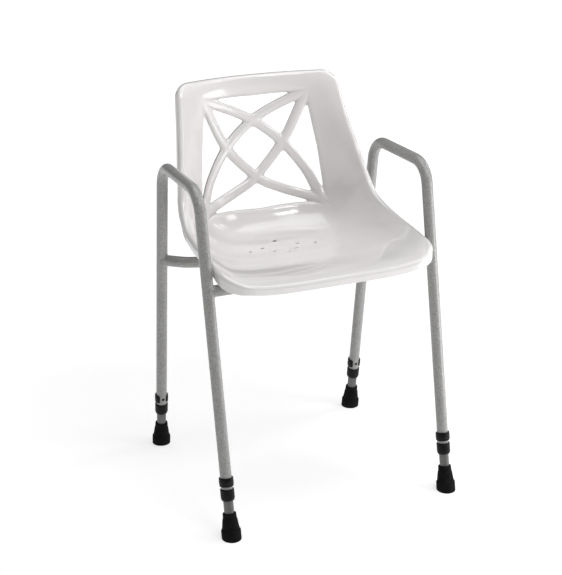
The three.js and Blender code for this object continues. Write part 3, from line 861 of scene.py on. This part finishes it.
def distance_to_line(places, line):
    """Distance of each place to a polyline, both in two dimensions."""
    nearest = np.full(len(places), np.inf)
    for a, b in zip(line, line[1:]):
        edge = b - a
        share = np.clip((places - a) @ edge / (edge @ edge), 0, 1)
        nearest = np.minimum(nearest, np.linalg.norm(places - a - share[:, None] * edge, axis=1))
    return nearest


def inside_outline(places, outline):
    inside = np.zeros(len(places), bool)
    for (ax, az), (bx, bz) in zip(outline, np.roll(outline, -1, axis=0)):
        crosses = (az > places[:, 1]) != (bz > places[:, 1])
        with np.errstate(divide="ignore", invalid="ignore"):
            reach = ax + (places[:, 1] - az) / (bz - az) * (bx - ax)
        inside ^= crosses & (places[:, 0] < reach)
    return inside


def soft_union(a, b, size):
    """The larger of two distances, filling the corner between them."""
    blend = np.maximum(size - np.abs(a - b), 0) / size
    return np.maximum(a, b) + blend**2 * size / 4


RIB_LINES = [
    uniform_spline([(side * x, z) for x, z in route])
    for route in (UPPER_RIB, LOWER_RIB)
    for side in (-1, 1)
]


def lattice_depth(x, z):
    """How far into the plastic a place on the back is, from the nearest opening's edge."""
    places = np.column_stack([x, z])
    outline = np.array(WINDOW_OUTLINE, float) * MM
    plastic = distance_to_line(places, np.vstack([outline, outline[:1]]))
    plastic[inside_outline(places, outline)] *= -1
    for line in RIB_LINES:
        plastic = soft_union(plastic, RIB_HALF_WIDTH - distance_to_line(places, line), LATTICE_FILLET)
    return plastic


def drain_depth(x, y):
    nearest = np.full(len(x), np.inf)
    for hole_x, hole_y in DRAIN_HOLES:
        away = np.hypot(x - hole_x * MM, y - hole_y * MM - DEPTH_OFFSET)
        nearest = np.minimum(nearest, away - DRAIN_RADIUS)
    return nearest


def opening_depths(points):
    """For each point of the seat: its depth in from a lattice opening and from a drain hole."""
    x, y, z = points.T
    lattice, drain = np.ones((2, len(points)))
    in_back = (z > LATTICE_FLOOR) & (y > BACK_FRONT)
    lattice[in_back] = lattice_depth(x[in_back], z[in_back])
    in_pan = z < LATTICE_FLOOR
    drain[in_pan] = drain_depth(x[in_pan], y[in_pan])
    return lattice, drain


def edge_drop(depth, size):
    """How far an edge's rounding has dropped the surface, and its slope there."""
    run, drop = size
    share = np.clip(1 - np.clip(depth, 0, run) / run, 0, 0.995)  # short of the edge's upright end
    root = np.sqrt(1 - share**2)
    return drop * (1 - root), drop / run * share / root


def seat_rows():
    """Rows across the shell as (place, half-width), rounded in at both ends."""
    def rim_span(i):
        step = 1 / (len(SEAT_SECTIONS) - 1)
        a, b = SEAT.rim.at(np.array([i * step, (i + 1) * step]))
        return np.linalg.norm(b - a) / step

    def row(t, inset):
        return float(t), float(SEAT.rim.at(np.array(t))[0]) - ROLL_RADIUS - inset

    def corner(place, radius):
        rows = []
        for i in range(CORNER_STEPS + 1):
            angle = math.pi / 2 * i / CORNER_STEPS
            rows.append(row(place(radius * (1 - math.cos(angle))), radius * (1 - math.sin(angle))))
        return rows

    last = len(SEAT_SECTIONS) - 2
    front = corner(lambda depth: (depth + ROLL_RADIUS) / rim_span(0), FRONT_CORNER)
    top = corner(lambda depth: 1 - (depth + ROLL_RADIUS) / rim_span(last), TOP_CORNER)[::-1]
    places = np.linspace(front[-1][0], top[0][0], 4000)
    steps = np.linalg.norm(np.diff(SEAT.centre.at(places), axis=0), axis=1)
    middle = (places[1:] + places[:-1]) / 2
    fine = ((middle > DRAIN_ROWS[0]) & (middle < DRAIN_ROWS[1])) | (middle > BACK_START)
    count = np.concatenate([[0], np.cumsum(steps / np.where(fine, FINE_ROW, COARSE_ROW))])
    wanted = np.linspace(0, count[-1], int(count[-1]) + 2)[1:-1]
    body = [row(t, 0) for t in np.interp(wanted, count, places)]
    return [*front, *body, *top]


class SeatGrid:
    """The seat's skin as flat polygons in row and column numbers, with its openings cut out."""

    def __init__(self):
        rows = seat_rows()
        self.places = np.array([t for t, _ in rows])
        self.widths = np.array([w for _, w in rows])
        shares = np.linspace(-1, 1, SEAT_COLUMNS + 1)
        self.shares = np.sin(shares * math.pi / 2) * CROWDING + shares * (1 - CROWDING)
        self.shape = (len(rows), SEAT_COLUMNS + 1)
        i, j = np.meshgrid(np.arange(self.shape[0]), np.arange(self.shape[1]), indexing="ij")
        self.spots = np.column_stack([i.ravel(), j.ravel()]).astype(float)
        self.depth = self.measure(self.spots)
        self.snap()
        self.extra = []
        self.crossings = {}
        self.faces = []
        self.cut()

    def surface(self, spots):
        """x and t of each (row, column) spot, between grid lines too."""
        row = np.arange(self.shape[0])
        t = np.interp(spots[:, 0], row, self.places)
        width = np.interp(spots[:, 0], row, self.widths)
        return width * np.interp(spots[:, 1], np.arange(self.shape[1]), self.shares), t

    def measure(self, spots):
        return np.minimum(*opening_depths(SEAT.point(*self.surface(spots))))

    def snap(self):
        """Moves the grid's spots that are close to an opening's edge onto it."""
        field = self.depth.reshape(self.shape)
        slopes = np.stack(np.gradient(field), -1).reshape(-1, 2)
        steepness = (slopes**2).sum(1)
        near = (np.abs(self.depth) < SNAP * np.sqrt(steepness)) & (steepness > 0)
        near &= np.abs(self.depth) < FAR_DEPTH
        for _ in range(2):
            shift = -self.depth[near, None] * slopes[near] / steepness[near, None]
            self.spots[near] += np.clip(shift, -LARGEST_SHIFT, LARGEST_SHIFT)
            self.depth[near] = self.measure(self.spots[near])
        self.depth[near] = 0

    def crossing(self, a, b):
        """The spot where the edge between two grid spots passes out of the plastic."""
        key = (min(a, b), max(a, b))
        if key not in self.crossings:
            share = self.depth[a] / (self.depth[a] - self.depth[b])
            self.crossings[key] = len(self.spots) + len(self.extra)
            self.extra.append(self.spots[a] + (self.spots[b] - self.spots[a]) * share)
        return self.crossings[key]

    def cut(self):
        columns = self.shape[1]
        for corner in range((self.shape[0] - 1) * columns):
            if (corner + 1) % columns == 0:
                continue
            ring = [corner, corner + 1, corner + columns + 1, corner + columns]
            if max(self.depth[ring]) <= 0:
                continue
            face = []
            for k, m in zip(ring, ring[1:] + ring[:1]):
                if self.depth[k] >= 0:
                    face.append(k)
                if self.depth[k] * self.depth[m] < 0:
                    face.append(self.crossing(*((k, m) if self.depth[k] > 0 else (m, k))))
            if len(face) > 2:
                self.faces.append(face)
        self.spots = np.vstack([self.spots, *[s[None] for s in self.extra]])

    def outer_loop(self):
        rows, columns = self.shape
        loop = [(0, j) for j in range(columns - 1)]
        loop += [(i, columns - 1) for i in range(rows - 1)]
        loop += [(rows - 1, j) for j in range(columns - 1, 0, -1)]
        loop += [(i, 0) for i in range(rows - 1, 0, -1)]
        return [i * columns + j for i, j in loop]

    def opening_edges(self):
        """The directed edges of the faces that have no face beyond them, the rim's aside."""
        edges = set()
        for face in self.faces:
            edges.update(zip(face, face[1:] + face[:1]))
        loop = self.outer_loop()
        rim = set(zip(loop, loop[1:] + loop[:1]))
        return [(a, b) for a, b in edges if (b, a) not in edges and (a, b) not in rim]


def skirt_depth(t):
    places, depths = zip(*SKIRT_DEPTHS)
    return np.interp(t, places, np.array(depths) * MM)


def rim_rings(points, normals, t):
    """Rings of points and normals from the seat's edge over the roll, down the skirt, round
    its lower edge and back up inside."""
    along = unit(np.roll(points, -1, axis=0) - np.roll(points, 1, axis=0))
    outward = unit(np.cross(along, normals))
    tangent = SEAT.tangent(t)
    down = np.column_stack([np.zeros(len(t)), tangent[:, 2], -tangent[:, 1]])
    turn = np.arctan2(-(down * normals).sum(1), (down * outward).sum(1))[:, None]
    centre = points - ROLL_RADIUS * normals
    depth = skirt_depth(t)[:, None]
    inner = ROLL_RADIUS - THICKNESS

    def facing(part):
        return normals * np.cos(turn * part) + outward * np.sin(turn * part)

    out = facing(1)
    rings = []
    for part in np.linspace(0, 1, ROLL_STEPS + 1)[1:]:
        rings.append((centre + ROLL_RADIUS * facing(part), facing(part)))
    straight = down * (depth - SKIRT_EDGE)
    for part in (0.35, 0.7):
        rings.append((centre + ROLL_RADIUS * out + straight * part, out))
    for side, base in ((1, ROLL_RADIUS), (-1, inner)):
        for angle in np.linspace(0, math.pi / 2, 5)[::side]:
            bulge = side * out * math.cos(angle) + down * math.sin(angle)
            start = centre + out * (base - side * SKIRT_EDGE) + straight
            rings.append((start + SKIRT_EDGE * bulge, bulge))
    for part in (0.6, 0.3):
        rings.append((centre + inner * out + straight * part, -out))
    for part in np.linspace(1, 0, ROLL_STEPS // 2 + 1)[:-1]:
        rings.append((centre + inner * facing(part), -facing(part)))
    return rings


def field_slopes(field, a, b):
    """How the field changes along each of its two axes, not to scale."""
    step = 0.4 * MM
    return field(a + step, b) - field(a - step, b), field(a, b + step) - field(a, b - step)


def edge_slopes(points, normals, depths):
    """The direction on the surface that leads away from the nearest opening, per point."""
    away = np.zeros_like(points)
    x, y, z = points.T
    near = (depths[0] < LATTICE_ROUND[0]) & (z > LATTICE_FLOOR)
    across, up = field_slopes(lattice_depth, x[near], z[near])
    away[near] = np.column_stack([across, 0 * across, up])
    near = depths[1] < DRAIN_ROUND[0]
    across, back = field_slopes(drain_depth, x[near], y[near])
    away[near] = np.column_stack([across, back, 0 * across])
    away -= normals * (away * normals).sum(1)[:, None]
    length = np.linalg.norm(away, axis=1, keepdims=True)
    return away / np.maximum(length, 1e-12)


def ease_edges(points, normals, loop):
    """Lets the surface fall away gently towards its rim."""
    run, fall = EDGE_EASE
    rim = points[loop]
    along = unit(np.roll(rim, -1, axis=0) - np.roll(rim, 1, axis=0))
    inward = unit(np.cross(normals[loop], along))
    distance, nearest = np.full(len(points), np.inf), np.zeros(len(points), int)
    for k, spot in enumerate(rim):
        length = np.linalg.norm(points - spot, axis=1)
        closer = length < distance
        distance[closer], nearest[closer] = length[closer], k
    away = points - rim[nearest]
    at_rim = distance < 1 * MM
    away[at_rim] = inward[nearest[at_rim]]
    away = unit(away - normals * (away * normals).sum(1)[:, None])
    share = np.clip(1 - distance / run, 0, 1)[:, None]
    return points - normals * fall * share**2, unit(normals - 2 * fall / run * share * away)


def seat_shell(material):
    grid = SeatGrid()
    x, t = grid.surface(grid.spots)
    base, normals = SEAT.point(x, t), SEAT.normal(x, t)
    loop = grid.outer_loop()
    base, normals = ease_edges(base, normals, loop)
    depths = opening_depths(base)
    away = edge_slopes(base, normals, depths)
    roundings = [edge_drop(*pair) for pair in zip(depths, (LATTICE_ROUND, DRAIN_ROUND))]
    drop, slope = (np.maximum(*values)[:, None] for values in zip(*roundings))
    flange, fall = flange_depth(depths[0])
    front = base - normals * drop
    back = base - normals * (THICKNESS + flange)
    vertices = [front, back]
    facing = [unit(normals - slope * away), unit(-normals + fall * away)]
    count = len(base)
    faces = grid.faces + [[k + count for k in reversed(face)] for face in grid.faces]
    faces += [(b, a, a + count, b + count) for a, b in grid.opening_edges()]
    previous, total = loop, 2 * count
    for points, directions in rim_rings(base[loop], normals[loop], t[loop]):
        ring = range(total, total + len(loop))
        faces += ring_faces(previous, ring)
        vertices.append(points)
        facing.append(directions)
        previous, total = ring, total + len(loop)
    faces += ring_faces(previous, [k + count for k in loop])
    used = sorted({k for face in faces for k in face})
    slot_of = {k: n for n, k in enumerate(used)}
    vertices, facing = np.vstack(vertices)[used], np.vstack(facing)[used]
    faces = [[slot_of[k] for k in face] for face in faces]
    shell = add_mesh("seat_moulding", vertices, faces, material, normals=facing)
    finish_piece(shell, "frame", "seat_plastic", "seat_shell")


def flange_depth(depth):
    """How much thicker the shell is behind a lattice edge, and how fast that falls away."""
    run, extra = LATTICE_FLANGE
    share = np.clip(1 - np.clip(depth, 0, run) / run, 0, 1)[:, None]
    return extra * share**2 * (3 - 2 * share), extra / run * 6 * share * (1 - share)


def ring_faces(first, second):
    """Joins two rings of point numbers."""
    pairs = list(zip(first, second))
    return [(a, b, d, c) for (a, b), (c, d) in zip(pairs, pairs[1:] + pairs[:1])]


# --- seat fixings


def pan_point(x, y):
    """The place on the pan's upper surface over a point of the floor plan."""
    low, high = 0.0, 0.5
    for _ in range(40):
        middle = (low + high) / 2
        if SEAT.point(np.array([x]), np.array([middle]))[0][1] < y:
            low = middle
        else:
            high = middle
    return SEAT.point(np.array([x]), np.array([low]))[0]


def seat_fixing(name, place, material, plastic):
    """A moulded boss under the pan, and the screw and washer that go up into it."""

    def at_height(z):
        return Matrix.Translation((place.x, place.y, z))

    low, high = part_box(f"seat_washer_{name}")
    rail_top = high.z + 2 * HAIR + 2 * TUBE_RADIUS
    height = (pan_point(place.x, place.y)[2] - BOSS_SUNK - rail_top) / MM
    outline = rounded_outline([
        (2.5, 0, 0), (7.2, 0, 0.5), (7.9, height - 2.5, 1.5), (8, height, 0), (2.5, height, 0),
    ])
    boss = turned(f"seat_boss_{name}", outline, plastic, sides=40, place=at_height(rail_top))
    finish_piece(boss, "frame", "seat_plastic")

    thick = (high.z - low.z) / MM
    outline = rounded_outline([(2.7, 0, 0.2), (7, 0, 0.3), (7, thick, 0.3), (2.7, thick, 0.2)])
    washer = turned(f"washer_{name}", outline, material, sides=40, place=at_height(low.z))
    finish_piece(washer, "frame", "steel", f"seat_washer_{name}")

    low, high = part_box(f"seat_screw_{name}")
    length = (high.z - low.z) / MM
    radius, head_radius, head = SCREW["radius"], SCREW["head_radius"], SCREW["head_height"]
    root = radius - SCREW["thread"]
    corners = [
        (0, 0, 0), (SCREW["crown"], 0.1, 1.0), (head_radius, 1.6, 0.5), (head_radius, head, 0.2),
        (radius, head, 0),
    ]
    z = head + 1.2
    while z < length - 3:
        corners += [(root, z, 0), (radius, z + SCREW["pitch"] / 2, 0)]
        z += SCREW["pitch"]
    corners += [(root, length - 1.4, 0), (0, length, 0)]
    at, outline = at_height(low.z), rounded_outline(corners)
    screw = turned(f"screw_{name}", outline, material, sides=28, place=at, closed=False)
    turns = [at @ Matrix.Rotation(angle, 4, "Z") for angle in (0, math.pi / 2)]
    drill(screw, [bar(CROSS_RECESS, turn) for turn in turns])
    finish_piece(screw, "frame", "steel", f"seat_screw_{name}")


# --- stage


def camera():
    """The photograph's viewpoint: from the front left, looking down on the seat."""
    yaw, pitch, roll = (math.radians(a) for a in CAMERA["turns"])
    level = Vector((math.sin(yaw), math.cos(yaw), 0))
    forward = level * math.cos(pitch) - Vector((0, 0, math.sin(pitch)))
    right = forward.cross(Vector((0, 0, 1))).normalized()
    data = bpy.data.cameras.new("camera")
    data.lens, data.sensor_width = CAMERA["lens"], 36
    data.clip_end = 100
    obj = bpy.data.objects.new("camera", data)
    unrolled = axes_at(Vector(CAMERA["place"]), right, right.cross(forward), -forward)
    obj.matrix_world = unrolled @ Matrix.Rotation(roll, 4, "Z")
    bpy.context.scene.collection.objects.link(obj)
    bpy.context.scene.camera = obj


def floor(material):
    half = FLOOR_HALF
    corners = [(-half, -half, 0), (half, -half, 0), (half, half, 0), (-half, half, 0)]
    plane = add_mesh("floor", corners, [(0, 1, 2, 3)], material)
    plane.location.z = -0.2 * MM


def softbox(name, place, target, size, power):
    data = bpy.data.lights.new(name, "AREA")
    data.shape = "RECTANGLE"
    data.size, data.size_y = size
    data.energy = power
    obj = bpy.data.objects.new(name, data)
    look = (Vector(target) - Vector(place)).normalized().to_track_quat("-Z", "Y")
    obj.matrix_world = Matrix.Translation(place) @ look.to_matrix().to_4x4()
    bpy.context.scene.collection.objects.link(obj)


def studio():
    world = bpy.data.worlds.new("studio")
    world.use_nodes = True
    background = world.node_tree.nodes["Background"]
    background.inputs["Color"].default_value = (0.9, 0.95, 1.0, 1)
    background.inputs["Strength"].default_value = 0.05
    bpy.context.scene.world = world
    bpy.context.scene.view_settings.view_transform = "Standard"
    for lamp in LAMPS:
        softbox(*lamp)


# --- assembly


def build():
    coat, plastic = coated_tube(), seat_plastic()
    rubber, nylon = black_rubber(), black_plastic()
    inner_metal, steel, dark_steel = aluminium(), zinc_steel(), black_steel()
    for hand in ("left", "right"):
        side_hoop(hand, coat)
    screws = {name: box_middle(f"seat_washer_{name}") for name in FIXINGS}
    cross_rails(coat, screws)
    for leg in LEGS.values():
        leg_extension(leg, inner_metal)
        ferrule(leg, rubber)
        leg_collar(leg, nylon)
        height_clip(leg, nylon)
        clip_pin(leg, dark_steel)
        washer = frame["nodes"][f"{leg.name}_ferrule_washer"]
        washer.data.materials.clear()
        washer.data.materials.append(steel)
    seat_shell(plastic)
    for name, place in screws.items():
        seat_fixing(name, place, steel, plastic)


camera()
studio()
floor(pale_floor())
build()

bpy.context.view_layer.update()
